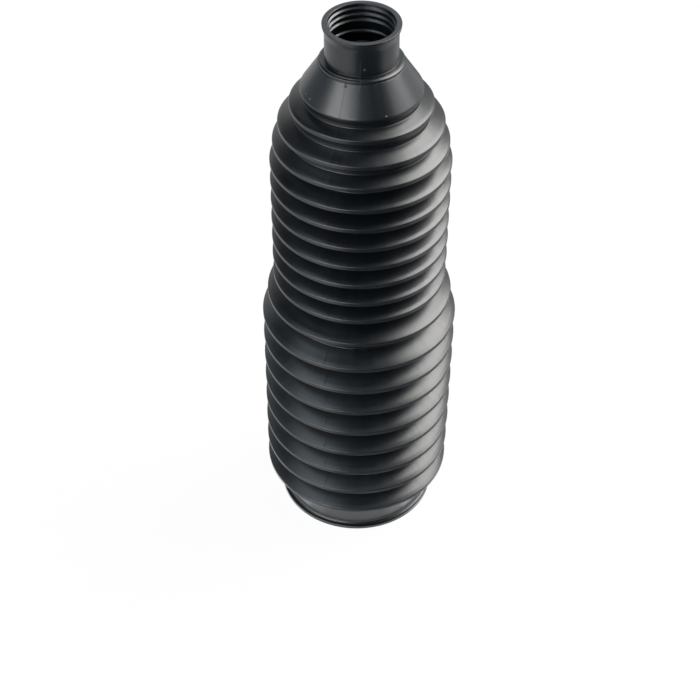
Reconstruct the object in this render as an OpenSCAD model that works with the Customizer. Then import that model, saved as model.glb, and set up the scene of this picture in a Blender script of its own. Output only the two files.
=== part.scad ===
// Bellows boot for a steering rack: one moulded rubber tube with the small end up.
// The outside is a path of corners from the base to the rim. The inside follows the same
// folds one wall further in, so the wall stays even, and one revolve makes the whole boot.

/* [Base cuff] */
// Diameter of the seat that the large band grips
base_seat_d = 56; // [50:0.5:60]
// Height of the seat that the large band grips
base_seat_h = 9; // [7:0.5:12]
// How far the lip under the large band stands out
base_lip = 1.7; // [0.6:0.1:2.4]
// Height of the lip under the large band
base_lip_h = 1.4; // [0.8:0.1:3]
// Thickness of the cuff between its seat and its bore
cuff_wall = 1.8; // [1.2:0.1:3]
// Chamfer at the mouth of the base bore
base_chamfer = 0.5; // [0.2:0.1:1]
// Height from the top of the seat to the lowest crest
cuff_rise = 6.2; // [4:0.1:9]

/* [Large folds] */
// Number of large folds
large_folds = 8; // [4:1:12]
// Diameter over the crests of the large folds
large_crest_d = 70; // [66:0.5:80]
// Depth of the valleys between the large folds
large_depth = 6.7; // [4:0.1:8]
// Distance from one large crest to the next
large_pitch = 10.52; // [8:0.02:13]

/* [Step fold] */
// Diameter over the crest of the fold between the large and the small ones
step_crest_d = 65.8; // [63:0.2:69]
// Depth of the valley above the step fold
step_depth = 7.2; // [5:0.1:8.5]
// Distance from the last large crest to the step crest
step_rise = 10.2; // [8:0.1:13]

/* [Small folds] */
// Number of small folds
small_folds = 7; // [4:1:12]
// Diameter over the crests of the small folds
small_crest_d = 61.4; // [60:0.2:65]
// Depth of the valleys between the small folds
small_depth = 6; // [4:0.1:7]
// Distance from the step crest to the first small crest
small_rise = 8.7; // [7:0.1:12]
// Distance from one small crest to the next
small_pitch = 7.9; // [6.6:0.05:10]

/* [Taper folds] */
// Diameter over the crest of the lowest taper fold
low_crest_d = 59.2; // [57:0.2:61]
// Depth of the valley above the lowest taper fold
low_depth = 4.6; // [3.5:0.1:6]
// Distance from the last small crest to the lowest taper crest
low_rise = 7.7; // [6.6:0.1:10]
// Diameter over the crest of the middle taper fold
mid_crest_d = 55.4; // [53:0.2:57]
// Depth of the valley above the middle taper fold
mid_depth = 5.2; // [4:0.1:6]
// Distance from the lowest taper crest to the middle one
mid_rise = 7.2; // [6.4:0.1:10]
// Diameter over the crest of the top taper fold
top_crest_d = 47.6; // [45:0.2:50]
// Depth of the valley above the top taper fold
top_depth = 4.5; // [3.8:0.1:5.5]
// Distance from the middle taper crest to the top one
top_rise = 7.2; // [6.2:0.1:10]

/* [Fold section] */
// Thickness of the folded wall and the cone
wall = 1.2; // [0.9:0.05:1.6]
// Width of the narrow land around each crest
crest_land = 1.35; // [0.9:0.05:2]
// Width of the narrow land at the bottom of each valley
valley_land = 1.2; // [0.8:0.05:1.8]
// Rounding at both edges of the crest and valley lands
edge_round = 0.35; // [0.1:0.05:0.6]
// Rounding on the inner side of each crest and valley
inner_round = 0.6; // [0.2:0.05:1]

/* [Cone] */
// Diameter of the cone's foot
cone_foot_d = 40.6; // [39:0.2:44]
// Distance from the top taper crest to the cone's foot
cone_rise = 5.8; // [4.6:0.1:8]
// Rounding at the cone's foot
cone_foot_round = 1.1; // [0.4:0.1:1.6]
// Height of the cone from its foot to the shoulder
cone_h = 9.4; // [7:0.1:16]

/* [Shoulder] */
// Width of the shoulder ring around the bead
shoulder_w = 0.7; // [0.4:0.05:1.4]
// Height of the step under the shoulder ring
shoulder_step = 0.9; // [0.5:0.05:1.2]
// Width of the fine ledge under the shoulder ring
shoulder_ledge = 0.2; // [0.1:0.05:0.6]
// Rise of the shoulder ring from its edge to the bead
shoulder_rise = 0.3; // [0.1:0.05:0.8]
// Width of the fine bead around the foot of the neck
bead_w = 1.3; // [0.8:0.05:1.8]
// Height of the fine bead above the shoulder ring
bead_h = 0.3; // [0.15:0.05:0.6]
// Rounding at the edge and the foot of the bead
bead_round = 0.12; // [0.04:0.02:0.2]

/* [Neck] */
// Diameter of the neck, where the small band sits
neck_d = 24; // [23:0.2:26]
// Height of the neck from the shoulder to the rim
neck_h = 12.6; // [11:0.1:16]
// Thickness of the neck between its ribs
neck_wall = 1.05; // [0.8:0.05:1.5]
// How far the rim flares out from the neck
rim_flare = 0.75; // [0.3:0.05:1.4]
// Height of the straight edge of the rim
rim_edge_h = 0.8; // [0.6:0.1:2]
// Height over which the flare runs back to the neck
rim_taper_h = 2.3; // [1.5:0.1:5]
// Rounding where the flare leaves the neck and where it meets the rim's edge
flare_round = 6; // [2:0.5:8]
// Rounding at the outer edge of the rim
rim_round = 0.2; // [0.1:0.05:0.4]
// Chamfer at the mouth of the neck bore
rim_chamfer = 0.15; // [0.1:0.05:0.5]

/* [Grip ribs] */
// Number of grip ribs inside the neck
grip_ribs = 3; // [1:1:3]
// How far the grip ribs stand in from the neck bore
rib_h = 0.6; // [0.3:0.05:1]
// Width of the flat tip of a grip rib
rib_tip = 0.35; // [0.2:0.05:0.6]
// Width of a grip rib at its root
rib_root = 1.1; // [0.8:0.05:1.5]
// Distance from the rim down to the first grip rib
rib_start = 1.7; // [1.3:0.05:1.9]
// Distance from one grip rib to the next
rib_pitch = 2.1; // [1.9:0.05:2.3]
// Height of the sealing edge above the foot of the neck bore
seal_edge_h = 4.2; // [1.5:0.1:4.6]

/* [Hidden] */

turn_steps = 96;
round_steps = 3;

base_seat_r = base_seat_d / 2;
base_bore_r = base_seat_r - cuff_wall;
base_lip_r = base_seat_r + base_lip;
seat_top_z = base_lip_h + base_seat_h;
lowest_crest_z = seat_top_z + cuff_rise;
step_z = lowest_crest_z + (large_folds - 1) * large_pitch + step_rise;
first_small_z = step_z + small_rise;
low_z = first_small_z + (small_folds - 1) * small_pitch + low_rise;
mid_z = low_z + mid_rise;
top_z = mid_z + top_rise;

// Each fold is its crest radius, its crest height and the depth of the valley above it.
folds = concat(
    [for (i = [0 : large_folds - 1])
        [large_crest_d / 2, lowest_crest_z + i * large_pitch, large_depth]],
    [[step_crest_d / 2, step_z, step_depth]],
    [for (i = [0 : small_folds - 1])
        [small_crest_d / 2, first_small_z + i * small_pitch, small_depth]],
    [[low_crest_d / 2, low_z, low_depth],
     [mid_crest_d / 2, mid_z, mid_depth],
     [top_crest_d / 2, top_z, top_depth]]);
last = len(folds) - 1;

cone_foot_r = cone_foot_d / 2;
cone_foot_z = top_z + cone_rise;
shoulder_z = cone_foot_z + cone_h;
neck_r = neck_d / 2;
bead_foot_z = shoulder_z + shoulder_step + shoulder_rise;
neck_foot_z = bead_foot_z + bead_h;
bead_r = neck_r + bead_w;
shoulder_r = bead_r + shoulder_w;
cone_top_r = shoulder_r + shoulder_ledge;
rim_z = neck_foot_z + neck_h;
rim_r = neck_r + rim_flare;
neck_bore_r = neck_r - neck_wall;
neck_bore_foot_z = neck_foot_z - wall;
rib_tip_r = neck_bore_r - rib_h;

// Corners of the outer folds
function crest_edge(i, side) = [folds[i][0], folds[i][1] + side * crest_land / 2];
function crest_above_z(i) = i < last ? folds[i + 1][1] : cone_foot_z;
function valley_r(i) = folds[i][0] - folds[i][2];
function valley_edge(i, side) =
    [valley_r(i), (folds[i][1] + crest_above_z(i)) / 2 + side * valley_land / 2];
cone_foot_edge = [cone_foot_r, cone_foot_z];

// Straight runs of the outside: under and over each crest, with the cone as the last one
function under_run(i) =
    [i == 0 ? [base_seat_r, seat_top_z] : valley_edge(i - 1, 1),
     i > last ? cone_foot_edge : crest_edge(i, -1)];
function over_run(i) =
    i > last ? [cone_foot_edge, [cone_top_r, shoulder_z]]
             : [crest_edge(i, 1), valley_edge(i, -1)];

// A run moved in by a distance, towards the axis, and points on it
function moved_in(run, by) =
    let (d = (run[1] - run[0]) / norm(run[1] - run[0]), n = [-d[1], d[0]] * by)
    [run[0] + n, run[1] + n];
function at_radius(run, r) =
    run[0] + (run[1] - run[0]) * (r - run[0][0]) / (run[1][0] - run[0][0]);
function at_height(run, z) =
    run[0] + (run[1] - run[0]) * (z - run[0][1]) / (run[1][1] - run[0][1]);
function crossing(a, b) =
    let (d = a[1] - a[0], e = b[1] - b[0])
    a[0] + d * cross(b[0] - a[0], e) / cross(d, e);

// The inner side of a crest is a point where the two moved runs meet, or a narrow land
// where that point would leave less than the wall.
function inner_crest(i) =
    let (under = moved_in(under_run(i), wall), over = moved_in(over_run(i), wall),
         tip = crossing(under, over),
         deepest = (i > last ? cone_foot_r : folds[i][0]) - wall)
    tip[0] > deepest ? [at_radius(over, deepest), at_radius(under, deepest)] : [tip];
function inner_valley(i) =
    [at_radius(moved_in(under_run(i + 1), wall), valley_r(i) - wall),
     at_radius(moved_in(over_run(i), wall), valley_r(i) - wall)];

// A corner with its rounding
function corners(points, rounding) = [for (p = points) [p[0], p[1], rounding]];

outside = concat(
    [[base_lip_r, 0, edge_round],
     [base_lip_r, base_lip_h, edge_round],
     [base_seat_r, base_lip_h, edge_round],
     [base_seat_r, seat_top_z, inner_round]],
    [for (i = [0 : last]) each corners(
        [crest_edge(i, -1), crest_edge(i, 1), valley_edge(i, -1), valley_edge(i, 1)],
        edge_round)],
    [[cone_foot_r, cone_foot_z, cone_foot_round],
     [cone_top_r, shoulder_z, 0],
     [shoulder_r, shoulder_z, 0],
     [shoulder_r, shoulder_z + shoulder_step, edge_round],
     [bead_r, bead_foot_z, bead_round],
     [bead_r, neck_foot_z, bead_round],
     [neck_r, neck_foot_z, bead_round],
     [neck_r, rim_z - rim_edge_h - rim_taper_h, flare_round],
     [rim_r, rim_z - rim_edge_h, flare_round],
     [rim_r, rim_z, rim_round]]);

// Grip ribs from the rim down, then the sealing edge, then the foot of the neck bore, which
// lies one wall under the foot of the neck
function rib_corners(z) =
    [[neck_bore_r, z + rib_root / 2, 0], [rib_tip_r, z + rib_tip / 2, 0],
     [rib_tip_r, z - rib_tip / 2, 0], [neck_bore_r, z - rib_root / 2, 0]];
cone_inside = moved_in(over_run(last + 1), wall);
seal_edge_z = neck_bore_foot_z + seal_edge_h;
neck_inside = concat(
    [[neck_bore_r + rim_chamfer, rim_z, 0], [neck_bore_r, rim_z - rim_chamfer, 0]],
    [for (i = [0 : grip_ribs - 1]) each rib_corners(rim_z - rib_start - i * rib_pitch)],
    rib_corners(seal_edge_z),
    corners([[neck_bore_r, neck_bore_foot_z], at_height(cone_inside, neck_bore_foot_z)],
            inner_round));

inside = concat(
    neck_inside,
    corners(inner_crest(last + 1), inner_round),
    [for (i = [last : -1 : 0])
        each corners(concat(inner_valley(i), inner_crest(i)), inner_round)],
    [[base_bore_r, at_radius(moved_in(under_run(0), wall), base_bore_r)[1], inner_round],
     [base_bore_r, base_chamfer, 0],
     [base_bore_r + base_chamfer, 0, 0]]);

// An arc that replaces the corner at b on the way from a to c. It takes up less than half
// of each side, so that two arcs never meet.
function arc(a, b, c, rounding) =
    let (u = (a - b) / norm(a - b), w = (c - b) / norm(c - b),
         half = acos(u * w) / 2,
         reach = min(rounding / tan(half), 0.45 * norm(a - b), 0.45 * norm(c - b)),
         fitted = reach * tan(half),
         centre = b + (u + w) / norm(u + w) * fitted / sin(half),
         start = b + u * reach - centre,
         turn = sign(cross(start, b + w * reach - centre)) * (180 - 2 * half))
    [for (k = [0 : round_steps])
        let (t = turn * k / round_steps)
        centre + [start[0] * cos(t) - start[1] * sin(t),
                  start[0] * sin(t) + start[1] * cos(t)]];

function rounded(path) =
    let (n = len(path))
    [for (i = [0 : n - 1])
        let (a = path[(i + n - 1) % n], b = path[i], c = path[(i + 1) % n])
        each b[2] > 0 ? arc([a[0], a[1]], [b[0], b[1]], [c[0], c[1]], b[2])
                      : [[b[0], b[1]]]];

module bellows_boot() {
    color([0.09, 0.095, 0.1])
        rotate_extrude($fn = turn_steps)
            polygon(rounded(concat(outside, inside)));
}

bellows_boot();
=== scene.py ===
"""A rubber bellows boot for a steering rack, dressed for rendering.

The boot is one moulded wall. Geometry Nodes lay out the corners of its section, fold by fold,
round them and turn the section about the upright axis. The stage is a pale floor with soft
lamps and with cards that only reflections see. The camera looks down on the small end.
"""
import math

import bpy
from bpy.props import FloatProperty, FloatVectorProperty, IntProperty, PointerProperty
from bpy.types import NodeSocket, Operator, Panel, PropertyGroup
from mathutils import Matrix, Vector


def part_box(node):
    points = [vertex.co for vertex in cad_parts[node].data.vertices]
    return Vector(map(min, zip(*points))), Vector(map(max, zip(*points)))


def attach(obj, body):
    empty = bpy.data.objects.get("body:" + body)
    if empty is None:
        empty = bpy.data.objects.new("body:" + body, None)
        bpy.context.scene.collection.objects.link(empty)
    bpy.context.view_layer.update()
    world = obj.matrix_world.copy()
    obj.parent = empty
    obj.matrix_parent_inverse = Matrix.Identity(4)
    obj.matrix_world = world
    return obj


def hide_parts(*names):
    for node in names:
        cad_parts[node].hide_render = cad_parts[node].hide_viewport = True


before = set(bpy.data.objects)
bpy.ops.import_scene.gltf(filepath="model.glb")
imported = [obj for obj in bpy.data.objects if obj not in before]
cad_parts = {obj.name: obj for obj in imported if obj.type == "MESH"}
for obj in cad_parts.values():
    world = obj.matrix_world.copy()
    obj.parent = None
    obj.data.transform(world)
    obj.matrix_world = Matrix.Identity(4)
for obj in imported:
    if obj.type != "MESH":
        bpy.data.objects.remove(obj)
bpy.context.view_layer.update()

bl_info = {
    "name": "Bellows Boot",
    "version": (1, 0, 0),
    "blender": (4, 5, 0),
    "location": "View3D > Sidebar > Bellows Boot",
    "description": "Builds a moulded rubber bellows boot and the stage it stands on",
    "category": "Add Mesh",
}

MM = 0.001
BODY = "root"
NODE = "bellows_boot"

LOW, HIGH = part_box(NODE)


def length(name, millimetres, description):
    """A length property, with its default given in millimetres."""
    return FloatProperty(
        name=name, description=description, default=millimetres * MM,
        min=0.0, precision=5, subtype="DISTANCE", unit="LENGTH")


def amount(name, value, description, highest=100.0):
    """A plain number property."""
    return FloatProperty(
        name=name, description=description, default=value, min=0.0, max=highest, precision=4)


def turn(name, degrees, description):
    """An angle property, with its default given in degrees."""
    return FloatProperty(
        name=name, description=description, default=math.radians(degrees),
        subtype="ANGLE", unit="ROTATION")


def whole(name, value, description, least, most):
    """A whole number property."""
    return IntProperty(name=name, description=description, default=value, min=least, max=most)


def colour(name, value, description):
    """A colour property."""
    return FloatVectorProperty(
        name=name, description=description, default=value, size=3, min=0.0, max=1.0,
        subtype="COLOR")


class CuffSizes(PropertyGroup):
    """The wide cuff at the base, where the large band grips"""
    seat_d: length("Seat diameter", 56, "Diameter of the seat that the large band grips")
    seat_h: length("Seat height", 9, "Height of the seat that the large band grips")
    lip: length("Lip", 1.7, "How far the lip under the large band stands out")
    lip_h: length("Lip height", 1.4, "Height of the lip under the large band")
    lip_fillet: length("Lip fillet", 1.25, "Rounding between the lip and the seat")
    cuff_wall: length("Cuff wall", 1.8, "Thickness of the cuff between its seat and its bore")
    cuff_chamfer: length("Bore chamfer", 0.5, "Chamfer at the mouth of the base bore")
    cuff_rise: length("Cuff rise", 6.2, "Height from the top of the seat to the lowest crest")


class FoldSizes(PropertyGroup):
    """The folds, from the large ones at the base to the taper under the cone"""
    large_folds: whole("Large folds", 8, "Number of large folds", 2, 12)
    large_crest_d: length("Large crest diameter", (HIGH.x - LOW.x) / MM, "Diameter over the large crests")
    large_depth: length("Large depth", 6.7, "Depth of the valleys between the large folds")
    large_pitch: length("Large pitch", 10.52, "Distance from one large crest to the next")
    step_crest_d: length("Step crest diameter", 65.8, "Diameter over the fold between large and small")
    step_depth: length("Step depth", 7.2, "Depth of the valley above the step fold")
    step_rise: length("Step rise", 10.2, "Distance from the last large crest to the step crest")
    small_folds: whole("Small folds", 7, "Number of small folds", 2, 12)
    small_crest_d: length("Small crest diameter", 61.4, "Diameter over the small crests")
    small_depth: length("Small depth", 6, "Depth of the valleys between the small folds")
    small_rise: length("Small rise", 8.7, "Distance from the step crest to the first small crest")
    small_pitch: length("Small pitch", 7.9, "Distance from one small crest to the next")
    low_crest_d: length("Low taper crest diameter", 59.2, "Diameter over the lowest taper crest")
    low_depth: length("Low taper depth", 4.6, "Depth of the valley above the lowest taper fold")
    low_rise: length("Low taper rise", 7.7, "Distance from the last small crest to the lowest taper crest")
    mid_crest_d: length("Middle taper crest diameter", 55.4, "Diameter over the middle taper crest")
    mid_depth: length("Middle taper depth", 5.2, "Depth of the valley above the middle taper fold")
    mid_rise: length("Middle taper rise", 7.2, "Distance from the lowest taper crest to the middle one")
    top_crest_d: length("Top taper crest diameter", 47.6, "Diameter over the top taper crest")
    top_depth: length("Top taper depth", 4.5, "Depth of the valley above the top taper fold")
    top_rise: length("Top taper rise", 7.2, "Distance from the middle taper crest to the top one")
    wall: length("Wall", 1.2, "Thickness of the folded wall and the cone")
    crest_land: length("Crest land", 1.35, "Width of the narrow land around each crest")
    valley_land: length("Valley land", 1.2, "Width of the narrow land at the bottom of each valley")
    edge_round: length(
        "Edge rounding", 0.29, "Rounding at the lower edge of each crest land and at the valley lands")
    crest_round: length("Crest rounding", 0.42, "Rounding at the upper edge of each crest land")
    swell: amount(
        "Flank swell", 0.018, "How far an upper flank swells out, as a share of the fold's depth", 0.1)
    swell_place: amount(
        "Swell place", 0.2, "Where an upper flank swells most, from the crest to the valley", 1.0)
    swell_round: length("Swell rounding", 9, "Rounding of the upper flank where it swells most")
    inner_round: length("Inner rounding", 0.6, "Rounding on the inner side of each crest and valley")


class NeckSizes(PropertyGroup):
    """The cone, its shoulder, and the ribbed neck that grips the rod"""
    cone_foot_d: length("Cone foot diameter", 40.6, "Diameter of the cone's foot")
    cone_rise: length("Cone rise", 5.8, "Distance from the top taper crest to the cone's foot")
    cone_foot_round: length("Cone foot rounding", 1.1, "Rounding at the cone's foot")
    cone_h: length("Cone height", 9.4, "Height of the cone from its foot to the shoulder")
    shoulder_w: length("Shoulder width", 0.7, "Width of the shoulder ring around the bead")
    shoulder_step: length("Shoulder step", 0.9, "Height of the step under the shoulder ring")
    shoulder_ledge: length("Shoulder ledge", 0.2, "Width of the fine ledge under the shoulder ring")
    ledge_round: length("Ledge rounding", 0.08, "Rounding where the step meets the fine ledge")
    shoulder_rise: length("Shoulder rise", 0.3, "Rise of the shoulder ring from its edge to the bead")
    bead_w: length("Bead width", 1.3, "Width of the fine bead around the foot of the neck")
    bead_h: length("Bead height", 0.3, "Height of the fine bead above the shoulder ring")
    bead_round: length("Bead rounding", 0.12, "Rounding at the edge and the foot of the bead")
    neck_d: length("Neck diameter", 24, "Diameter of the neck, where the small band sits")
    neck_wall: length("Neck wall", 1.05, "Thickness of the neck between its ribs")
    rim_z: length("Rim height", HIGH.z / MM, "Height of the rim above the base")
    rim_flare: length("Rim flare", 0.75, "How far the rim flares out from the neck")
    rim_edge_h: length("Rim edge", 0.8, "Height of the straight edge of the rim")
    rim_taper_h: length("Rim taper", 2.3, "Height over which the flare runs back to the neck")
    flare_round: length(
        "Flare rounding", 6, "Rounding where the flare leaves the neck and where it meets the rim")
    rim_round: length("Rim rounding", 0.2, "Rounding at the outer edge of the rim")
    rim_chamfer: length("Rim chamfer", 0.15, "Chamfer at the mouth of the neck bore")
    crisp_round: length("Crisp rounding", 0.1, "Rounding of the ribs, the chamfers and the cone's edge")
    grip_ribs: whole("Grip ribs", 3, "Number of ribs inside the neck", 1, 3)
    rib_h: length("Rib height", 0.6, "How far the grip ribs stand in from the neck bore")
    rib_tip: length("Rib tip", 0.35, "Width of the flat tip of a grip rib")
    rib_root: length("Rib root", 1.1, "Width of a grip rib at its root")
    rib_start: length("Rib start", 1.7, "Distance from the rim down to the first grip rib")
    rib_pitch: length("Rib pitch", 2.1, "Distance from one grip rib to the next")
    seal_edge_h: length(
        "Seal edge height", 4.2, "Height of the sealing edge above the foot of the neck bore")


class MouldMarks(PropertyGroup):
    """What the mould and the soft rubber leave on the surface"""
    seam_angle: turn("Seam angle", -21, "Where the parting line runs, from the front towards +X")
    seam_height: length("Seam height", 0.095, "How far the parting line stands out")
    seam_width: length("Seam width", 0.42, "Width of the parting line")
    seam_drift: length("Seam drift", 0.36, "How far the parting line strays from a straight line")
    seam_drift_size: length(
        "Seam drift size", 3.5, "Typical distance from one bend of the parting line to the next")
    seam_on_folds: amount(
        "Seam on the folds", 0.65, "Share of its height that the parting line has on the folds", 1.0)
    seam_on_neck: amount(
        "Seam on the neck", 0.15, "Share of its height that the parting line has on the neck", 1.0)
    seam_crowding: amount(
        "Seam crowding", 0.13, "Share of the even spacing that the mesh has at the parting line", 1.0)
    neck_lean: turn("Neck lean", 2.56, "How far the soft neck leans to the front")
    belly: length("Belly", 0.14, "How far the soft folds swell out all round")
    bow: length("Bow", 0.22, "How far the soft boot's middle stands out towards +X")
    waviness: length("Waviness", 0.07, "How far the soft wall strays from the true round")
    wave_size: length("Wave size", 14, "Typical distance from one wave of the wall to the next")
    columns: whole("Columns", 148, "Mesh columns round the boot", 40, 400)
    outer_points: whole("Outer arc", 3, "Steps in each outer rounding", 1, 8)
    inner_points: whole("Inner arc", 1, "Steps in each inner rounding", 1, 8)


class RubberLook(PropertyGroup):
    """The finish of the moulded rubber"""
    black: colour("Rubber", (0.0014, 0.0027, 0.0041), "Colour of clean rubber")
    bloom: colour("Bloom", (0.0070, 0.0098, 0.0122), "Colour of rubber under a thin dull bloom")
    dust: colour("Dust", (0.065, 0.074, 0.08), "Colour of the small dusty specks")
    patch_size: length("Patch size", 18, "Size of the patches of bloom")
    patch_share: amount("Patch share", 0.6, "Share of the bloom in patches, with the rest in streaks", 1.0)
    streak_size: amount(
        "Streak size", 0.05, "Width of the streaks of bloom, as a share of the radius", 1.0)
    roughness: amount("Roughness", 0.34, "Roughness of the satin skin", 1.0)
    roughness_spread: amount("Roughness spread", 0.10, "How far the roughness strays", 1.0)
    grain_roughness: amount("Grain roughness", 0.08, "How far the grain changes the roughness", 1.0)
    grain: length("Grain", 0.5, "Size of the fine grain")
    grain_depth: length("Grain depth", 0.0085, "Depth of the fine grain")
    line_gap: length("Line gap", 0.5, "Gap between the fine turning lines left by the mould")
    line_depth: length("Line depth", 0.0025, "Depth of the fine turning lines")
    flow_width: amount(
        "Flow width", 0.02, "Width of the faint upright flow lines, as a share of the radius", 1.0)
    flow_depth: length("Flow depth", 0.0065, "Depth of the faint upright flow lines")
    faint_line: length(
        "Faint line", 0.04, "Height of the second, fainter mould line on the neck and shoulder")


class StageLook(PropertyGroup):
    """The floor, the lamps and the camera"""
    floor: colour("Floor", (0.80, 0.80, 0.80), "Colour of the floor")
    whiteness: amount(
        "Floor whiteness", 0.965, "Share of plain white in the floor that the camera sees", 1.0)
    fill: amount("Fill", 0.03, "Strength of the even light from all around", 1.0)
    lens: amount("Lens", 77.4926, "Focal length for a sensor 36 mm wide, in millimetres", 500.0)
    pitch: turn("Camera pitch", 42.6446, "How far the camera looks down")
    yaw: turn("Camera yaw", -0.4026, "How far the camera looks towards +X")
    roll: turn("Camera roll", 0.4471538, "How far the camera leans")
    camera_back: length(
        "Camera distance", 417.318, "How far the camera stands in front of the boot's axis")
    camera_up: length("Camera height", 452.396, "How high the camera stands above the base")


class BootSettings(PropertyGroup):
    """All the groups of sizes and looks"""
    cuff: PointerProperty(type=CuffSizes, name="Cuff")
    folds: PointerProperty(type=FoldSizes, name="Folds")
    neck: PointerProperty(type=NeckSizes, name="Neck")
    marks: PointerProperty(type=MouldMarks, name="Mould marks")
    rubber: PointerProperty(type=RubberLook, name="Rubber")
    stage: PointerProperty(type=StageLook, name="Stage")


SIZE_GROUPS = ("cuff", "folds", "neck", "marks")
NODE_ROW = 12
NODE_STEP = (190, 260)


def add_node(tree, kind, inputs=(), **settings):
    """Adds a node, sets its properties and feeds its inputs. New nodes are laid out in rows."""
    node = tree.nodes.new(kind)
    place = len(tree.nodes)
    node.location = (place % NODE_ROW * NODE_STEP[0], -(place // NODE_ROW) * NODE_STEP[1])
    for name, value in settings.items():
        setattr(node, name, value)
    for name, value in dict(inputs).items():
        feed(tree, node.inputs[name], value)
    return node


def feed(tree, socket, value):
    """Links a value to a socket, or sets it there if it is a plain one."""
    if isinstance(value, Rule):
        value = value.socket
    if isinstance(value, NodeSocket):
        tree.links.new(value, socket)
    else:
        socket.default_value = value


class Rule:
    """A value inside a node tree that is written into formulas as a number is."""

    def __init__(self, tree, socket):
        self.tree = tree
        self.socket = socket

    def maths(self, operation, *others):
        """What a maths node makes of this value and the others."""
        inputs = dict(enumerate((self, *others)))
        node = add_node(self.tree, "ShaderNodeMath", inputs, operation=operation)
        return Rule(self.tree, node.outputs[0])

    def __add__(self, other):
        return self.maths("ADD", other)

    def __sub__(self, other):
        return self.maths("SUBTRACT", other)

    def __mul__(self, other):
        return self.maths("MULTIPLY", other)

    def __truediv__(self, other):
        return self.maths("DIVIDE", other)

    def __radd__(self, other):
        return self.maths("ADD", other)

    def __rmul__(self, other):
        return self.maths("MULTIPLY", other)

    def __rsub__(self, other):
        return (self * -1.0).maths("ADD", other)

    def __rtruediv__(self, other):
        return self.maths("POWER", -1.0) * other

    def __neg__(self):
        return self * -1.0

    def lowest(self, other):
        return self.maths("MINIMUM", other)

    def highest(self, other):
        return self.maths("MAXIMUM", other)

    def below(self, other):
        return self.maths("LESS_THAN", other)

    def above(self, other):
        return self.maths("GREATER_THAN", other)

    def mixed(self, first, second):
        """The first value where this rule is 0, the second where it is 1."""
        return first + (second - first) * self

    def ramp(self, start, end):
        """0 up to the start, 1 from the end on, and a smooth rise between them."""
        inputs = {"Value": self, "From Min": start, "From Max": end}
        node = add_node(self.tree, "ShaderNodeMapRange", inputs, interpolation_type="SMOOTHSTEP")
        return Rule(self.tree, node.outputs["Result"])


def hypotenuse(a, b):
    """The length of the slope with these two legs."""
    return (a * a + b * b).maths("SQRT")


def vector(tree, x, y, z):
    """A vector made of three values."""
    return Rule(tree, add_node(tree, "ShaderNodeCombineXYZ", {"X": x, "Y": y, "Z": z}).outputs[0])


def parts_of(tree, socket):
    """The three values of a vector."""
    node = add_node(tree, "ShaderNodeSeparateXYZ", {0: socket})
    return [Rule(tree, out) for out in node.outputs]


def own_index(tree):
    """The number of the point that a field is worked out on."""
    return Rule(tree, add_node(tree, "GeometryNodeInputIndex").outputs[0])


def own_position(tree):
    """The position of the point that a field is worked out on."""
    return add_node(tree, "GeometryNodeInputPosition").outputs[0]


def scaled(tree, direction, size):
    """A vector times a value."""
    inputs = {0: direction, "Scale": size}
    return add_node(tree, "ShaderNodeVectorMath", inputs, operation="SCALE").outputs[0]


def noise(tree, at, size, detail, roughness=0.5):
    """Smooth noise from 0 to 1, with bumps of about this size and finer ones by its detail."""
    node = add_node(tree, "ShaderNodeTexNoise", {
        "Vector": at, "Scale": 1.0 / size, "Detail": detail, "Roughness": roughness})
    return Rule(tree, node.outputs[0])


def blended(tree, share, first, second):
    """The first colour where the share is 0, the second where it is 1."""
    inputs = {"Factor": share, "A": first, "B": second}
    return add_node(tree, "ShaderNodeMix", inputs, data_type="RGBA").outputs["Result"]


def pick(tree, index, choices):
    """The choice whose number is the index."""
    node = add_node(tree, "GeometryNodeIndexSwitch", {"Index": index}, data_type="FLOAT")
    while len(node.index_switch_items) < len(choices):
        node.index_switch_items.new()
    for place, choice in enumerate(choices):
        feed(tree, node.inputs[str(place)], choice)
    return Rule(tree, node.outputs[0])


def new_tree(name, sockets):
    """A geometry node tree with named inputs and one geometry output, and the inputs by name. Each
    socket is given as its name, kind, default and description."""
    tree = bpy.data.node_groups.new(name, "GeometryNodeTree")
    tree.interface.new_socket("Geometry", in_out="OUTPUT", socket_type="NodeSocketGeometry")
    for label, kind, default, description in sockets:
        socket = tree.interface.new_socket(
            label, in_out="INPUT", socket_type=kind, description=description)
        if default is not None:
            socket.default_value = default
    inputs = add_node(tree, "NodeGroupInput").outputs
    return tree, {label: Rule(tree, inputs[label]) for label, *_ in sockets}


def finish_tree(tree, geometry):
    """Joins the geometry to the tree's output."""
    add_node(tree, "NodeGroupOutput", {"Geometry": geometry})


# The section is one closed path. Its stretches are numbered in order up the outside and down
# the inside, and each corner's place on the path is its stretch plus its own small step. The
# runs of folds count up from FOLDS_OUT on the outside and down from FOLDS_IN on the inside.
CUFF_OUT, FOLDS_OUT, TOP_OUT, NECK_IN, RIBS_IN, SEAL_IN, FOLDS_IN, CUFF_IN = 0, 1, 8, 9, 10, 11, 18, 19
CORNER_STEP = 0.001
FOLD_CORNERS = 5.0
RIB_CORNERS = 4.0
LEAST_LAND = 0.12 * MM

# The runs of folds from the base up, and those that hold several folds at a pitch of their own
RUNS = ("Large", "Step", "Small", "Low taper", "Middle taper", "Top taper")
SERIES = ("Large", "Small")


def corner_points(tree, count, radius, height, rounding, place):
    """Points at the corners of the section. Each holds its rounding as its radius, and its place
    on the path."""
    points = add_node(tree, "GeometryNodePoints", {
        "Count": count, "Position": vector(tree, radius, 0.0, height), "Radius": rounding})
    stored = add_node(tree, "GeometryNodeStoreNamedAttribute", {
        "Geometry": points.outputs[0], "Name": "place", "Value": place},
        data_type="FLOAT", domain="POINT")
    return stored.outputs[0]


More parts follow.
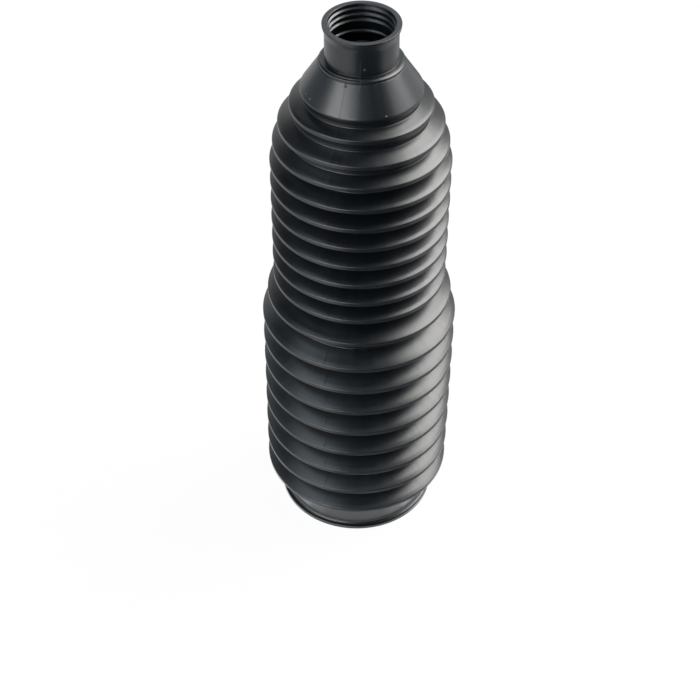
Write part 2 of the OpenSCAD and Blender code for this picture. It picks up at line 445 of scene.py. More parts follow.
def plain_stretch(tree, stretch, corners):
    """Points for corners that are listed one by one, each as its radius, height and rounding."""
    index = own_index(tree)
    radius, height, rounding = [pick(tree, index, column) for column in zip(*corners)]
    return corner_points(tree, len(corners), radius, height, rounding, stretch + index * CORNER_STEP)


def fold_corner_tree():
    """A run of equal folds. Each has five corners: both edges of its crest, where its upper flank
    swells, and both edges of the valley above it. With an inset, these are the same corners on
    the wall's inner side."""
    distance = "NodeSocketFloat"
    tree, given = new_tree("Fold Corners", (
        ("Count", "NodeSocketInt", 1, "Number of folds"),
        ("Crest Radius", distance, 0.03, "Radius over the crests"),
        ("First Height", distance, 0.0, "Height of the first crest"),
        ("Pitch", distance, 0.01, "Distance from one crest to the next"),
        ("Depth", distance, 0.005, "Depth of the valleys"),
        ("Rise Below", distance, 0.01, "Distance from the crest below to the first crest"),
        ("Radius Below", distance, 0.025, "Radius of the valley below the first crest"),
        ("Rise Above", distance, 0.01, "Distance from the last crest to the one above it"),
        ("Next Radius", distance, 0.03, "Radius of the crest above the last one"),
        ("Crest Land", distance, 0.001, "Width of the crest lands"),
        ("Valley Land", distance, 0.001, "Width of the valley lands"),
        ("Rounding", distance, 0.0003, "Rounding of the corners"),
        ("Crest Rounding", distance, 0.0003, "Rounding of the crest land's upper edge"),
        ("Swell", distance, 0.0, "How far the upper flank swells out, as a share of the depth"),
        ("Swell Place", distance, 0.4, "Where the upper flank swells most"),
        ("Swell Rounding", distance, 0.009, "Rounding where the flank swells"),
        ("Inset", distance, 0.0, "Distance that the corners are moved into the wall"),
        ("Stretch", distance, 0.0, "Number of this stretch of the section"),
        ("Corner Step", distance, CORNER_STEP, "Step from one corner's place to the next"),
    ))
    index = own_index(tree)
    fold = (index / FOLD_CORNERS).maths("FLOOR")
    corner = index - fold * FOLD_CORNERS
    # Whole numbers are told apart halfway between them, clear of rounding
    first = fold.below(0.5)
    last = fold.above(given["Count"] - 1.5)
    crest, inset = given["Crest Radius"], given["Inset"]
    valley = crest - given["Depth"]
    rise_below = first.mixed(given["Pitch"], given["Rise Below"])
    rise_above = last.mixed(given["Pitch"], given["Rise Above"])
    half_crest, half_valley = given["Crest Land"] / 2.0, given["Valley Land"] / 2.0
    half_lands = half_crest + half_valley

    def shift(across, up):
        """How far a land's edge moves along when its flank, this far across and up, is moved in."""
        return inset * (hypotenuse(across, up) - up) / across

    under = crest - first.mixed(valley, given["Radius Below"]), rise_below / 2.0 - half_lands
    over = given["Depth"], rise_above / 2.0 - half_lands
    following = last.mixed(crest, given["Next Radius"]) - valley, over[1]

    # On the wall's inner side the two edges of a crest would pass each other. They stop where the
    # two flanks meet, a least land apart.
    height = given["First Height"] + fold * given["Pitch"]
    lower = height - half_crest + shift(*under)
    upper = height + half_crest - shift(*over)
    under_slope, over_slope = under[0] / under[1], over[0] / over[1]
    slopes = under_slope + over_slope
    meeting = (under_slope * lower + over_slope * upper) / slopes
    overlap = (lower - upper + LEAST_LAND).highest(0.0)
    crest_in = crest - inset - under_slope * over_slope / slopes * overlap

    slope, share = hypotenuse(*over), given["Swell Place"]
    swell = given["Swell"] * given["Depth"] - inset
    swell_radius = crest - over[0] * share + swell * over[1] / slope
    swell_height = height + half_crest + over[1] * share + swell * over[0] / slope
    centre = height + rise_above / 2.0
    radii = crest_in, crest_in, swell_radius, valley - inset, valley - inset
    heights = (
        lower.lowest(meeting - LEAST_LAND / 2),
        upper.highest(meeting + LEAST_LAND / 2),
        swell_height,
        centre - half_valley - shift(*over),
        centre + half_valley + shift(*following))
    plain = given["Rounding"]
    roundings = plain, given["Crest Rounding"], given["Swell Rounding"], plain, plain
    points = corner_points(
        tree, given["Count"] * FOLD_CORNERS, pick(tree, corner, radii), pick(tree, corner, heights),
        pick(tree, corner, roundings), given["Stretch"] + index * given["Corner Step"])
    finish_tree(tree, points)
    return tree


def seat_top(s):
    """The height of the upper edge of the large band's seat."""
    return s["Lip height"] + s["Seat height"]


def fold_stretches(tree, s):
    """The outer and inner corners of every run of folds, and the height of the cone's foot."""
    crests = [s[f"{name} crest diameter"] / 2.0 for name in RUNS]
    depths = [s[f"{name} depth"] for name in RUNS]
    valleys = [s["Seat diameter"] / 2.0] + [crest - depth for crest, depth in zip(crests, depths)]
    crests.append(s["Cone foot diameter"] / 2.0)
    rises = [s["Cuff rise"] * 2.0 + s["Valley land"]]
    rises += [s[f"{name} rise"] for name in (*RUNS[1:], "Cone")]
    soft = s["Inner rounding"]
    outer = {"Rounding": s["Edge rounding"], "Crest Rounding": s["Crest rounding"], "Inset": 0.0}
    inner = {"Rounding": soft, "Crest Rounding": soft, "Inset": s["Wall"]}
    corner_tree = fold_corner_tree()
    stretches = []
    height = seat_top(s) + s["Cuff rise"]
    for place, name in enumerate(RUNS):
        several = name in SERIES
        count = s[f"{name} folds"] if several else 1
        pitch = s[f"{name} pitch"] if several else 0.0
        shared = {
            "Count": count, "Crest Radius": crests[place], "First Height": height, "Pitch": pitch,
            "Depth": depths[place], "Rise Below": rises[place], "Radius Below": valleys[place],
            "Rise Above": rises[place + 1], "Next Radius": crests[place + 1],
            "Crest Land": s["Crest land"], "Valley Land": s["Valley land"], "Swell": s["Flank swell"],
            "Swell Place": s["Swell place"], "Swell Rounding": s["Swell rounding"]}
        up_path = {"Stretch": float(FOLDS_OUT + place), "Corner Step": CORNER_STEP}
        down_path = {"Stretch": float(FOLDS_IN - place), "Corner Step": -CORNER_STEP}
        for side in ({**outer, **up_path}, {**inner, **down_path}):
            run = add_node(tree, "GeometryNodeGroup", {**shared, **side}, node_tree=corner_tree)
            stretches.append(run.outputs[0])
        height = height + (count - 1) * pitch + rises[place + 1]
    return stretches, height


def mitred(start, corner, end, wall):
    """A corner moved in by the wall, where start, corner and end are radius and height pairs."""
    normals = []
    for a, b in ((start, corner), (corner, end)):
        across, up = b[0] - a[0], b[1] - a[1]
        size = hypotenuse(across, up)
        normals.append((-up / size, across / size))
    (ax, ay), (bx, by) = normals
    spread_by = wall / (ax * bx + ay * by + 1.0)
    return corner[0] + (ax + bx) * spread_by, corner[1] + (ay + by) * spread_by


def cuff_stretches(tree, s):
    """The corners of the cuff: its lip and seat outside, and its bore inside."""
    seat, top = s["Seat diameter"] / 2.0, seat_top(s)
    lip, bore = seat + s["Lip"], seat - s["Cuff wall"]
    edge, soft, crisp = s["Edge rounding"], s["Inner rounding"], s["Crisp rounding"]
    outside = plain_stretch(tree, CUFF_OUT, (
        (lip, 0.0, edge), (lip, s["Lip height"], edge),
        (seat, s["Lip height"], s["Lip fillet"]), (seat, top, soft)))

    # The bore ends where it meets the inner side of the flank that rises to the lowest crest
    crest = s["Large crest diameter"] / 2.0
    crest_foot = top + s["Cuff rise"] - s["Crest land"] / 2.0
    straight_up = crest, crest_foot + 1.0
    across, up = crest - seat, crest_foot - top
    moved = mitred((seat, top), (crest, crest_foot), straight_up, s["Wall"])
    bore_top = moved[1] + (bore - moved[0]) * up / across
    inside = plain_stretch(tree, CUFF_IN, (
        (bore, bore_top, soft), (bore, s["Bore chamfer"], crisp), (bore + s["Bore chamfer"], 0.0, crisp)))
    return [outside, inside]


def rib_corners(s, bore):
    """The corners of a rib inside the neck from the top down, as radius and height over its middle."""
    tip = bore - s["Rib height"]
    root, flat = s["Rib root"] / 2.0, s["Rib tip"] / 2.0
    return (bore, root), (tip, flat), (tip, -flat), (bore, -root)


def rib_stretch(tree, s, bore):
    """The corners of the grip ribs, from the upper one down."""
    index = own_index(tree)
    rib = (index / RIB_CORNERS).maths("FLOOR")
    corner = index - rib * RIB_CORNERS
    radii, rises = zip(*rib_corners(s, bore))
    middle = s["Rim height"] - s["Rib start"] - rib * s["Rib pitch"]
    return corner_points(
        tree, s["Grip ribs"] * RIB_CORNERS, pick(tree, corner, radii), middle + pick(tree, corner, rises),
        s["Crisp rounding"], RIBS_IN + index * CORNER_STEP)


def top_stretches(tree, s, foot_z):
    """The corners of the cone, the shoulder ring and the neck, up the outside and down the inside."""
    wall, soft, crisp = s["Wall"], s["Inner rounding"], s["Crisp rounding"]
    neck = s["Neck diameter"] / 2.0
    bead = neck + s["Bead width"]
    shoulder = bead + s["Shoulder width"]
    foot = s["Cone foot diameter"] / 2.0, foot_z
    cone_edge = shoulder + s["Shoulder ledge"], foot_z + s["Cone height"]
    shoulder_top = cone_edge[1] + s["Shoulder step"]
    bead_foot = shoulder_top + s["Shoulder rise"]
    neck_foot = bead_foot + s["Bead height"]
    rim, rim_z = neck + s["Rim flare"], s["Rim height"]
    rim_foot = rim_z - s["Rim edge"]
    fine, flare = s["Bead rounding"], s["Flare rounding"]
    outside = plain_stretch(tree, TOP_OUT, (
        (*foot, s["Cone foot rounding"]), (*cone_edge, crisp),
        (shoulder, cone_edge[1], s["Ledge rounding"]), (shoulder, shoulder_top, s["Edge rounding"]),
        (bead, bead_foot, fine), (bead, neck_foot, fine), (neck, neck_foot, fine),
        (neck, rim_foot - s["Rim taper"], flare), (rim, rim_foot, flare), (rim, rim_z, s["Rim rounding"])))

    bore, chamfer = neck - s["Neck wall"], s["Rim chamfer"]
    mouth = plain_stretch(tree, NECK_IN, ((bore + chamfer, rim_z, crisp), (bore, rim_z - chamfer, crisp)))

    # Under the grip ribs: the sealing edge, the foot of the bore and the inner side of the cone
    bore_foot = neck_foot - wall
    seal_z = bore_foot + s["Seal edge height"]
    seal_edge = [(radius, seal_z + rise, crisp) for radius, rise in rib_corners(s, bore)]
    valley = (s["Top taper crest diameter"] / 2.0 - s["Top taper depth"],
              foot_z - s["Cone rise"] / 2.0 + s["Valley land"] / 2.0)
    inner_foot = mitred(valley, foot, cone_edge, wall)
    across, up = cone_edge[0] - foot[0], cone_edge[1] - foot[1]
    cone_end = inner_foot[0] + across * (bore_foot - inner_foot[1]) / up
    inside = plain_stretch(tree, SEAL_IN, (
        *seal_edge, (bore, bore_foot, soft), (cone_end, bore_foot, soft), (*inner_foot, soft)))
    return [outside, mouth, rib_stretch(tree, s, bore), inside]


def section_points(tree, s):
    """All corners of the boot's section, from the values of the tree's inputs by name."""
    folds, foot_z = fold_stretches(tree, s)
    joined = add_node(tree, "GeometryNodeJoinGeometry")
    for stretch in folds + cuff_stretches(tree, s) + top_stretches(tree, s, foot_z):
        tree.links.new(stretch, joined.inputs[0])
    return joined.outputs[0]


def path_place(tree):
    """Each point's place on the path of the section."""
    node = add_node(tree, "GeometryNodeInputNamedAttribute", {"Name": "place"}, data_type="FLOAT")
    return Rule(tree, node.outputs[0])


def outer_side(tree):
    """1 on the wall's outer side and 0 on its inner side."""
    return path_place(tree).below(NECK_IN - 0.5)


def rounded_section(tree, s):
    """The section as one closed curve through its corners, each of them rounded."""
    line = add_node(tree, "GeometryNodePointsToCurves", {
        "Points": section_points(tree, s), "Weight": path_place(tree)})
    closed = add_node(tree, "GeometryNodeSetSplineCyclic", {0: line.outputs[0], "Cyclic": True})
    arc_points = outer_side(tree).mixed(s["Inner arc"], s["Outer arc"])
    rounding = add_node(tree, "GeometryNodeInputRadius").outputs[0]
    rounded = add_node(tree, "GeometryNodeFilletCurve", {
        0: closed.outputs[0], "Count": arc_points, "Radius": rounding, "Limit Radius": True}, mode="POLY")
    return rounded.outputs[0]


def moved_points(tree, geometry, **inputs):
    """The geometry with its points set to a position, or moved by an offset."""
    node = add_node(tree, "GeometryNodeSetPosition", {"Geometry": geometry})
    for name, value in inputs.items():
        feed(tree, node.inputs[name.capitalize()], value)
    return node.outputs[0]


def turned_skin(tree, s, section):
    """The section turned about the upright axis, with the mesh columns crowded at both parting
    lines. Each half turn runs from -1 to 1 about its own line."""
    size = add_node(tree, "GeometryNodeAttributeDomainSize", {0: section}, component="CURVE")
    rows = Rule(tree, size.outputs["Point Count"])
    ring = add_node(tree, "GeometryNodeCurvePrimitiveCircle", {"Resolution": s["Columns"]}, mode="RADIUS")
    skin = add_node(tree, "GeometryNodeCurveToMesh", {"Curve": ring.outputs[0], "Profile Curve": section})
    index = own_index(tree)
    column = (index / rows).maths("FLOOR")
    spot = add_node(tree, "GeometryNodeSampleIndex", {
        "Geometry": section, "Value": own_position(tree), "Index": index - column * rows},
        data_type="FLOAT_VECTOR", domain="POINT")
    radius, _, height = parts_of(tree, spot.outputs[0])
    turns = column / s["Columns"] * 2.0
    half = turns.maths("FLOOR")
    aside = (turns - half) * 2.0 - 1.0
    crowding = s["Seam crowding"]
    crowded = aside * (crowding + (1.0 - crowding) * aside.maths("ABSOLUTE"))
    angle = s["Seam angle"] + half * math.pi + crowded * (math.pi / 2)
    place = vector(tree, radius * angle.maths("SINE"), -radius * angle.maths("COSINE"), height)
    return moved_points(tree, skin.outputs[0], position=place)


# Heights over the base between which a mark of the soft wall fades in
WAVES_START = 0.3 * MM, 4 * MM
MIDDLE_START = 16 * MM, 40 * MM
BOW_START = 0.0, 80 * MM
SEAM_START = 0.0, 1 * MM

# Heights over the place where the neck starts to lean, for what changes on the cone and the neck
NECK_REACH = 12 * MM
MIDDLE_END = -8 * MM, 4 * MM
SEAM_GROWS = -20 * MM, -10 * MM
SEAM_FADES = -2 * MM, 0.0


def heights_of(tree, s):
    """The height over the base, and over the place where the neck starts to lean."""
    z = parts_of(tree, own_position(tree))[2]
    return z, z - (s["Rim height"] - NECK_REACH)


def middle_of(z, over_lean):
    """1 over the boot's middle, and 0 at the base and on the neck."""
    return z.ramp(*MIDDLE_START) * (1.0 - over_lean.ramp(*MIDDLE_END))


def waved(tree, s, shape):
    """The shape with the swollen middle and the gentle waves of a soft wall."""
    here = own_position(tree)
    x, y, _ = parts_of(tree, here)
    z, over_lean = heights_of(tree, s)
    waves = (noise(tree, here, s["Wave size"], detail=1.0) - 0.5) * s["Waviness"] * 2.0
    swelling = waves * z.ramp(*WAVES_START) + s["Belly"] * middle_of(z, over_lean)
    outward = add_node(tree, "ShaderNodeVectorMath", {0: vector(tree, x, y, 0.0)}, operation="NORMALIZE")
    return moved_points(tree, shape, offset=scaled(tree, outward.outputs[0], swelling))


def seamed(tree, s, shape):
    """The shape with the parting line raised on two opposite sides. The line wavers, is highest on
    the cone and is faint on the neck."""
    here = own_position(tree)
    x, y, _ = parts_of(tree, here)
    z, over_lean = heights_of(tree, s)
    drift = (noise(tree, here, s["Seam drift size"], detail=1.0) - 0.5) * s["Seam drift"] * 2.0
    across = x * s["Seam angle"].maths("COSINE") + y * s["Seam angle"].maths("SINE") + drift
    near = 1.0 - across.maths("ABSOLUTE").ramp(0.0, s["Seam width"] / 2.0)
    share = over_lean.ramp(*SEAM_GROWS).mixed(s["Seam on the folds"], 1.0)
    share = share * over_lean.ramp(*SEAM_FADES).mixed(1.0, s["Seam on the neck"])
    raised = near * s["Seam height"] * share * outer_side(tree) * z.ramp(*SEAM_START)
    # The faces still point inwards here
    inward = add_node(tree, "GeometryNodeInputNormal").outputs[0]
    return moved_points(tree, shape, offset=scaled(tree, inward, -raised))


def bowed(tree, s, shape):
    """The shape with its middle bowed towards +X."""
    z, over_lean = heights_of(tree, s)
    bow = z.ramp(*BOW_START) * middle_of(z, over_lean) * s["Bow"]
    return moved_points(tree, shape, offset=vector(tree, bow, 0.0, 0.0))


def leaned(tree, s, shape):
    """The shape with its soft neck leaned to the front."""
    y = parts_of(tree, own_position(tree))[1]
    over_lean = heights_of(tree, s)[1]
    lean = (over_lean / NECK_REACH).highest(0.0).lowest(1.0) * s["Neck lean"]
    forward = y * (lean.maths("COSINE") - 1.0) - lean * over_lean / 2.0
    return moved_points(tree, shape, offset=vector(tree, 0.0, forward, y * lean.maths("SINE")))


# Points closer together than this become one
MERGE_GAP = 0.002 * MM


def boot_tree(groups):
    """The whole boot: the corners of its section, rounded and turned about the upright axis, and
    then the marks of the mould and of the soft rubber."""
    kinds = {"FLOAT": "NodeSocketFloat", "INT": "NodeSocketInt"}
    sockets = [("Material", "NodeSocketMaterial", None, "Finish of the boot")]
    for group in groups:
        for prop in own_props(group):
            sockets.append((prop.name, kinds[prop.type], prop.default, prop.description))
    tree, s = new_tree("Bellows Boot", sockets)
    shape = turned_skin(tree, s, rounded_section(tree, s))
    for change in (waved, seamed, bowed, leaned):
        shape = change(tree, s, shape)
    outwards = add_node(tree, "GeometryNodeFlipFaces", {0: shape})
    clean = add_node(tree, "GeometryNodeMergeByDistance", {0: outwards.outputs[0], "Distance": MERGE_GAP})
    smooth = add_node(tree, "GeometryNodeSetShadeSmooth", {0: clean.outputs[0], "Shade Smooth": True})
    real = add_node(tree, "GeometryNodeRealizeInstances", {0: smooth.outputs[0]})
    painted = add_node(tree, "GeometryNodeSetMaterial", {0: real.outputs[0], "Material": s["Material"]})
    finish_tree(tree, painted.outputs[0])
    return tree


def own_props(group):
    """The properties that a settings group declares itself."""
    return [prop for prop in group.bl_rna.properties if prop.identifier not in ("rna_type", "name")]


# Small marks of the mould on the cone and the neck, each as its place, radius and height in
# millimetres. Those that stand out have caught some dust. A mark has its full height over the
# core, a share of its radius.
MARKS = (
    ((1.07, -11.95, 198.0), 0.4, 0.10),
    ((-16.2, -10.25, 186.0), 0.4, 0.08),
    ((-17.6, -7.5, 186.1), 0.35, 0.06),
    ((8.0, -18.3, 185.0), 0.4, 0.10),
    ((-4.8, -13.75, 193.3), 0.6, -0.14),
)
MARK_CORE = 0.4

# The second, fainter mould line in front: its place along X, the distances from it between which
# it fades, and the heights between which it starts and ends
FAINT_X = -0.18 * MM
FAINT_FADES = 0.05 * MM, 0.25 * MM
FAINT_START = 192 * MM, 194 * MM
FAINT_END = 199 * MM, 203 * MM

# The levels of noise between which a patch or a streak of bloom sets in
PATCH_LEVELS = 0.45, 0.8
STREAK_LEVELS = 0.5, 0.85

# A metre up the boot changes the streaks as much as this many radians round it
STREAK_RATE = 4.0
RUBBER_IOR = 1.6


def rubber_material(look):
    """Satin black rubber with a fine grain, turning lines from the mould and a faint uneven bloom."""
    material = bpy.data.materials.new("satin_rubber")
    material.use_nodes = True
    tree = material.node_tree
    tree.nodes.clear()
    spot = add_node(tree, "ShaderNodeTexCoord").outputs["Object"]
    x, y, z = parts_of(tree, spot)
    radius = hypotenuse(x, y)
    section = vector(tree, radius, z, 0.0)
    around = vector(tree, x / radius, y / radius, z * STREAK_RATE)
    patches = noise(tree, spot, look.patch_size, detail=3.0)
    streaks = noise(tree, around, look.streak_size, detail=2.0)
    lines = noise(tree, section, look.line_gap, detail=1.0)
    grain = noise(tree, spot, look.grain, detail=3.0, roughness=0.6)
    flow = noise(tree, around, look.flow_width, detail=2.0)

    share = look.patch_share
    bloom = patches.ramp(*PATCH_LEVELS) * share + streaks.ramp(*STREAK_LEVELS) * (1.0 - share)
    paint = blended(tree, bloom, (*look.black, 1.0), (*look.bloom, 1.0))
    height = grain * look.grain_depth + lines * look.line_depth + flow * look.flow_depth
    for at, reach, rise in MARKS:
        gap = add_node(tree, "ShaderNodeVectorMath", {0: spot, 1: Vector(at) * MM}, operation="DISTANCE")
        near = 1.0 - Rule(tree, gap.outputs["Value"]).ramp(reach * MM * MARK_CORE, reach * MM)
        height = height + near * (rise * MM)
        if rise > 0.0:
            paint = blended(tree, near, paint, (*look.dust, 1.0))
    faint = (1.0 - (x - FAINT_X).maths("ABSOLUTE").ramp(*FAINT_FADES)) * y.below(0.0)
    height = height + faint * z.ramp(*FAINT_START) * (1.0 - z.ramp(*FAINT_END)) * look.faint_line
    roughness = (patches + streaks - 1.0) * look.roughness_spread \
        + (grain - 0.5) * look.grain_roughness + look.roughness
    bump = add_node(tree, "ShaderNodeBump", {"Height": height, "Distance": 1.0, "Strength": 1.0})
    shader = add_node(tree, "ShaderNodeBsdfPrincipled", {
        "Base Color": paint, "Roughness": roughness, "Normal": bump.outputs[0], "IOR": RUBBER_IOR})
    add_node(tree, "ShaderNodeOutputMaterial", {"Surface": shader.outputs[0]})
    return material


def apply_modifiers(holder):
    """Turns the evaluated result of an object's modifiers into its plain mesh."""
    graph = bpy.context.evaluated_depsgraph_get()
    mesh = bpy.data.meshes.new_from_object(holder.evaluated_get(graph), depsgraph=graph)
    holder.modifiers.clear()
    old = holder.data
    holder.data = mesh
    bpy.data.meshes.remove(old)
    mesh.name = holder.name


class BELLOWS_OT_boot(Operator):
    """Build the moulded rubber boot"""
    bl_idname = "bellows.boot"
    bl_label = "Build Boot"

    def execute(self, context):
        settings = context.scene.bellows
        groups = [getattr(settings, name) for name in SIZE_GROUPS]
        tree = boot_tree(groups)
        boot = bpy.data.objects.new("rubber_boot", bpy.data.meshes.new("start"))
        context.collection.objects.link(boot)
        build = boot.modifiers.new("Build", "NODES")
        build.node_group = tree
        sockets = {item.name: item.identifier for item in tree.interface.items_tree
                   if item.in_out == "INPUT"}
        build[sockets["Material"]] = rubber_material(settings.rubber)
        for group in groups:
            for prop in own_props(group):
                build[sockets[prop.name]] = getattr(group, prop.identifier)
        shading = boot.modifiers.new("Flat flanks", "WEIGHTED_NORMAL")
        shading.mode = "FACE_AREA"
        shading.weight = 50
        apply_modifiers(boot)
        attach(boot, BODY)
        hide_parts(NODE)
        return {"FINISHED"}


def towards(azimuth, elevation):
    """The direction at an azimuth from the front towards +X and an elevation, both in degrees."""
    a, e = math.radians(azimuth), math.radians(elevation)
    return Vector((math.sin(a) * math.cos(e), -math.cos(a) * math.cos(e), math.sin(e)))


TARGET = Vector((0.0, 0.0, 0.1))
LAMP_REACH = 1.2

# Each soft box: name, azimuth and elevation, width and height as the boot sees them in degrees,
# radiance and colour
SOFT_BOXES = (
    ("right_back", 114, 46, 44, 40, 9.9, (1.0, 0.985, 0.965)),
    ("right_low", 84, 20, 44, 26, 1.6, (0.98, 1.0, 1.01)),
    ("front_left", -41, 10, 54, 20, 1.7, (0.91, 1.0, 1.07)),
    ("front_left_band", -37, 26, 46, 12, 9.3, (0.99, 1.0, 1.01)),
    ("high_left", -63, 54, 40, 24, 2.1, (0.87, 1.0, 1.10)),
    ("high_right", 33, 53, 50, 18, 0.6, (0.87, 1.0, 1.09)),
    ("high_back", 180, 46, 40, 22, 1.5, (0.94, 1.0, 1.05)),
)

COOL = (0.85, 1.0, 1.13, 1.0)
PLAIN = (0.975, 1.0, 1.015, 1.0)
CARD_REACH = 1.4
CARD_STEP = 6
CARD_LIFT = 0.2 * MM

# Each card round the boot: name, azimuth from and to, elevation from and to in degrees, its level,
# where 1 is white, and colour
WALL_CARDS = (
    ("canopy", -180, 180, 32, 90, 0.0, PLAIN),
    ("front_right_card", -14, 62, 0, 32, 0.0, PLAIN),
    ("back_right_card", 142, 180, 2, 32, 0.5, PLAIN),
    ("left_card", -130, -78, 2, 36, 0.45, COOL),
)

# Each card on the floor: name, azimuth from and to, distance from the axis from and to in metres,
# level and colour. The first ones stand for the bright floor close round the cuff.
FOOT, RING, NARROW_RING, FRONT_REACH = 0.030, 0.047, 0.040, 0.14
FLOOR_CARDS = (
    ("near_front", -30, 30, FOOT, RING, 1.5, PLAIN),
    ("near_front_right", 30, 45, FOOT, RING, 2.0, PLAIN),
    ("near_front_left", -45, -30, FOOT, RING, 1.9, PLAIN),
    ("near_right", 45, 66, FOOT, NARROW_RING, 3.5, PLAIN),
    ("near_left", -66, -45, FOOT, NARROW_RING, 2.8, PLAIN),
    ("near_back", 66, 294, FOOT, RING, 2.4, PLAIN),
    ("front_floor", -22, 64, RING, FRONT_REACH, 0.38, COOL),
    ("far_front_floor", -22, 64, FRONT_REACH, CARD_REACH, 0.1, COOL),
    ("left_floor", -180, -60, RING, CARD_REACH, 0.86, PLAIN),
    ("right_floor", 64, 152, RING, CARD_REACH, 0.84, PLAIN),
    ("back_floor", 152, 180, RING, CARD_REACH, 0.3, PLAIN),
)


# The floor lies just under the base, so that the two faces don't share a plane
FLOOR_REACH = 6.0
FLOOR_DROP = 0.02 * MM
FLOOR_ROUGHNESS = 0.9
SENSOR = 36.0
CLIP = 0.01, 50.0


def grid_faces(columns, rows):
    """The faces of a grid whose points are listed column by column."""
    return [(c * rows + r, (c + 1) * rows + r, (c + 1) * rows + r + 1, c * rows + r + 1)
            for c in range(columns - 1) for r in range(rows - 1)]


def spread(start, end, step):
    """Evenly spaced values from start to end, no further apart than the step."""
    count = math.ceil((end - start) / step)
    return [start + (end - start) * i / count for i in range(count + 1)]


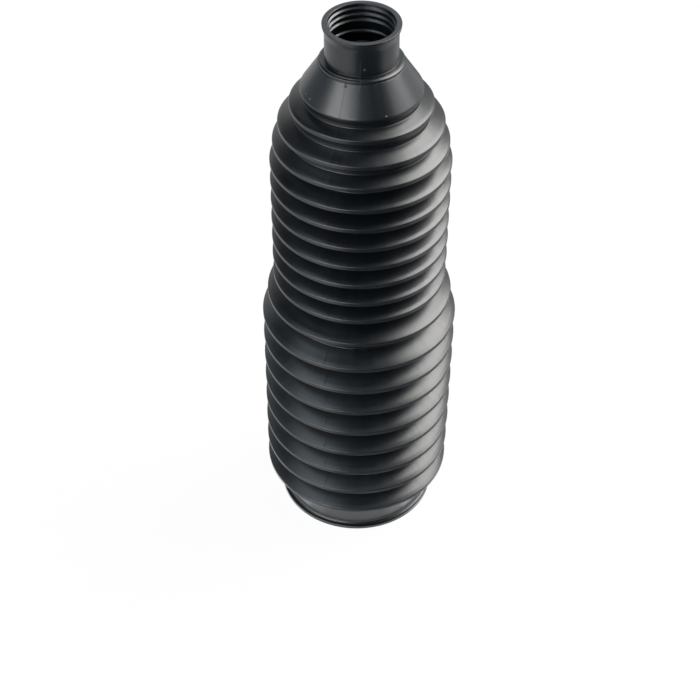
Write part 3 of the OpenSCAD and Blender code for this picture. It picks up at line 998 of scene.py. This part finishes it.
class BELLOWS_OT_stage(Operator):
    """Build the floor, the lamps, the cards, the world and the camera"""
    bl_idname = "bellows.stage"
    bl_label = "Build Stage"

    def execute(self, context):
        look = context.scene.bellows.stage
        self.floor(context, look)
        self.lamps(context)
        self.cards(context)
        self.world(context.scene, look)
        self.camera(context, look)
        context.scene.view_settings.view_transform = "Standard"
        return {"FINISHED"}

    def add(self, context, name, points, faces, material):
        """Adds a mesh to the stage."""
        mesh = bpy.data.meshes.new(name)
        mesh.from_pydata(points, [], faces)
        mesh.materials.append(material)
        item = bpy.data.objects.new(name, mesh)
        context.collection.objects.link(item)
        return item

    def seen_rays(self, tree):
        """1 for what the camera, reflections and clear things see, and 0 for plain light."""
        path = add_node(tree, "ShaderNodeLightPath")
        camera, glossy, clear = [Rule(tree, path.outputs[name]) for name in (
            "Is Camera Ray", "Is Glossy Ray", "Is Transmission Ray")]
        return camera.highest(glossy).highest(clear)

    def floor(self, context, look):
        """A wide pale floor that stays white to the camera and keeps the soft shadow."""
        material = bpy.data.materials.new("floor")
        material.use_nodes = True
        tree = material.node_tree
        matt = tree.nodes["Principled BSDF"]
        matt.inputs["Base Color"].default_value = (*look.floor, 1.0)
        matt.inputs["Roughness"].default_value = FLOOR_ROUGHNESS
        matt.inputs["Specular IOR Level"].default_value = 0.0
        glow = add_node(tree, "ShaderNodeEmission", {"Strength": 1.0})
        mixed = add_node(tree, "ShaderNodeMixShader", {
            0: self.seen_rays(tree) * look.whiteness, 1: matt.outputs[0], 2: glow.outputs[0]})
        tree.links.new(mixed.outputs[0], tree.nodes["Material Output"].inputs["Surface"])
        corners = [(x * FLOOR_REACH, y * FLOOR_REACH, -FLOOR_DROP)
                   for x, y in ((-1, -1), (1, -1), (1, 1), (-1, 1))]
        self.add(context, "floor", corners, [(0, 1, 2, 3)], material)

    def lamps(self, context):
        """Soft boxes that face the boot, each as wide and high as the boot sees it."""
        for name, azimuth, elevation, width, height, radiance, tint in SOFT_BOXES:
            lamp = bpy.data.lights.new(name, "AREA")
            lamp.shape = "RECTANGLE"
            lamp.size = 2 * LAMP_REACH * math.tan(math.radians(width) / 2)
            lamp.size_y = 2 * LAMP_REACH * math.tan(math.radians(height) / 2)
            lamp.energy = radiance * math.pi * lamp.size * lamp.size_y
            lamp.color = tint
            box = bpy.data.objects.new(name, lamp)
            direction = towards(azimuth, elevation)
            box.location = TARGET + direction * LAMP_REACH
            box.rotation_mode = "QUATERNION"
            box.rotation_quaternion = direction.to_track_quat("Z", "Y")
            box.visible_camera = False
            context.collection.objects.link(box)

    def cards(self, context):
        """Curved black and grey cards round the boot and flat ones on the floor, which only
        reflections see."""
        for name, left, right, low, high, level, tint in WALL_CARDS:
            columns, rows = spread(left, right, CARD_STEP), spread(low, high, CARD_STEP)
            points = [towards(a, e) * CARD_REACH for a in columns for e in rows]
            self.card(context, name, points, grid_faces(len(columns), len(rows)), level, tint)
        for name, left, right, near, far, level, tint in FLOOR_CARDS:
            columns = spread(left, right, CARD_STEP)
            points = [towards(a, 0) * r + Vector((0, 0, CARD_LIFT)) for a in columns for r in (near, far)]
            self.card(context, name, points, grid_faces(len(columns), 2), level, tint)

    def card(self, context, name, points, faces, level, tint):
        """One card of this level and colour, seen only in reflections."""
        paint = bpy.data.materials.new(name)
        paint.use_nodes = True
        tree = paint.node_tree
        tree.nodes.clear()
        glow = add_node(tree, "ShaderNodeEmission", {"Color": tint, "Strength": level})
        add_node(tree, "ShaderNodeOutputMaterial", {"Surface": glow.outputs[0]})
        card = self.add(context, name, points, faces, paint)
        card.visible_camera = card.visible_shadow = card.visible_diffuse = False

    def world(self, scene, look):
        """White to the camera and in reflections, and a low even fill for everything else."""
        world = bpy.data.worlds.new("studio")
        world.use_nodes = True
        tree = world.node_tree
        tree.nodes.clear()
        strength = self.seen_rays(tree).mixed(look.fill, 1.0)
        background = add_node(tree, "ShaderNodeBackground", {
            "Color": (1.0, 1.0, 1.0, 1.0), "Strength": strength})
        add_node(tree, "ShaderNodeOutputWorld", {"Surface": background.outputs[0]})
        scene.world = world

    def camera(self, context, look):
        """The photograph's viewing angle."""
        data = bpy.data.cameras.new("camera")
        data.sensor_width, data.lens = SENSOR, look.lens
        data.clip_start, data.clip_end = CLIP
        pitch, yaw = look.pitch, look.yaw
        ahead = Vector((
            math.sin(yaw) * math.cos(pitch), math.cos(yaw) * math.cos(pitch), -math.sin(pitch)))
        level = ahead.cross(Vector((0, 0, 1))).normalized()
        upright = level.cross(ahead)
        side = level * math.cos(look.roll) + upright * math.sin(look.roll)
        top = upright * math.cos(look.roll) - level * math.sin(look.roll)
        camera = bpy.data.objects.new("camera", data)
        context.collection.objects.link(camera)
        turned = Matrix((side, top, -ahead)).transposed().to_4x4()
        camera.matrix_world = Matrix.Translation((0.0, -look.camera_back, look.camera_up)) @ turned
        context.scene.camera = camera


class BELLOWS_PT_panel(Panel):
    """Sizes and looks of the boot, with a button for each step"""
    bl_label = "Bellows Boot"
    bl_idname = "BELLOWS_PT_panel"
    bl_space_type = "VIEW_3D"
    bl_region_type = "UI"
    bl_category = "Bellows Boot"

    def draw(self, context):
        settings = context.scene.bellows
        for operator in OPERATORS:
            self.layout.operator(operator.bl_idname)
        for pointer in own_props(settings):
            box = self.layout.box()
            box.label(text=pointer.name)
            group = getattr(settings, pointer.identifier)
            for prop in own_props(group):
                box.prop(group, prop.identifier)


OPERATORS = (BELLOWS_OT_boot, BELLOWS_OT_stage)
CLASSES = (CuffSizes, FoldSizes, NeckSizes, MouldMarks, RubberLook, StageLook, BootSettings,
           *OPERATORS, BELLOWS_PT_panel)


def register():
    for item in CLASSES:
        bpy.utils.register_class(item)
    bpy.types.Scene.bellows = PointerProperty(type=BootSettings)


def unregister():
    del bpy.types.Scene.bellows
    for item in reversed(CLASSES):
        bpy.utils.unregister_class(item)


def main():
    register()
    bpy.ops.bellows.boot()
    bpy.ops.bellows.stage()


if __name__ == "__main__":
    main()
